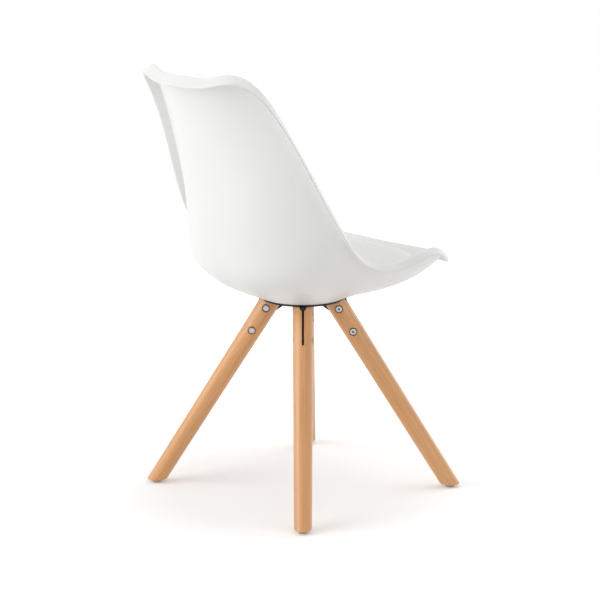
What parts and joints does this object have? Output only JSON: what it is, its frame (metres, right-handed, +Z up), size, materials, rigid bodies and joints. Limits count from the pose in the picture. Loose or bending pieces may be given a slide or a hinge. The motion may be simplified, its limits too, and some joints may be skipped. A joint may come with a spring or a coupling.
{
  "type": "moulded shell chair",
  "caption": "Dining chair: white moulded bucket shell with a turned-out rim and a seat pad, on splayed round beech legs bolted to a steel bracket.",
  "frame": {"origin": "on the floor, in the middle of the chair's overall width and length", "axes": "+Z up, the sitter faces -Y, the sitter's left is +X"},
  "size_m": [0.4792, 0.5306, 0.8197],
  "materials": {
    "shell_plastic": "satin moulded polypropylene, warm white",
    "pad_leatherette": "fine-grained white leatherette, soft satin",
    "pad_foam": "open-cell upholstery foam, cream",
    "pad_board": "thin bent plywood, raw",
    "bracket_black": "black powder coat, fine texture",
    "zinc_steel": "bright zinc plate",
    "insert_brass": "turned brass, plain",
    "beech": "light natural beech, clear matt lacquer",
    "glide_plastic": "grey moulded plastic"
  },
  "bodies": {
    "root": {"seat_shell": "shell_plastic", "seat_pad_cover": "pad_leatherette", "seat_pad_foam": "pad_foam", "seat_pad_board": "pad_board", "bracket_plate": "bracket_black", "shell_insert_left": "insert_brass", "plate_screw_left": "zinc_steel", "plate_washer_left": "zinc_steel", "shell_insert_rear": "insert_brass", "plate_screw_rear": "zinc_steel", "plate_washer_rear": "zinc_steel", "shell_insert_right": "insert_brass", "plate_screw_right": "zinc_steel", "plate_washer_right": "zinc_steel", "shell_insert_front": "insert_brass", "plate_screw_front": "zinc_steel", "plate_washer_front": "zinc_steel", "leg_front_left": "beech", "bracket_fin_front_left": "bracket_black", "glide_front_left": "glide_plastic", "glide_nail_front_left": "zinc_steel", "leg_bolt_front_left_upper": "zinc_steel", "leg_nut_front_left_upper": "zinc_steel", "leg_bolt_front_left_lower": "zinc_steel", "leg_nut_front_left_lower": "zinc_steel", "leg_rear_left": "beech", "bracket_fin_rear_left": "bracket_black", "glide_rear_left": "glide_plastic", "glide_nail_rear_left": "zinc_steel", "leg_bolt_rear_left_upper": "zinc_steel", "leg_nut_rear_left_upper": "zinc_steel", "leg_bolt_rear_left_lower": "zinc_steel", "leg_nut_rear_left_lower": "zinc_steel", "leg_rear_right": "beech", "bracket_fin_rear_right": "bracket_black", "glide_rear_right": "glide_plastic", "glide_nail_rear_right": "zinc_steel", "leg_bolt_rear_right_upper": "zinc_steel", "leg_nut_rear_right_upper": "zinc_steel", "leg_bolt_rear_right_lower": "zinc_steel", "leg_nut_rear_right_lower": "zinc_steel", "leg_front_right": "beech", "bracket_fin_front_right": "bracket_black", "glide_front_right": "glide_plastic", "glide_nail_front_right": "zinc_steel", "leg_bolt_front_right_upper": "zinc_steel", "leg_nut_front_right_upper": "zinc_steel", "leg_bolt_front_right_lower": "zinc_steel", "leg_nut_front_right_lower": "zinc_steel"}
  },
  "joints": []
}
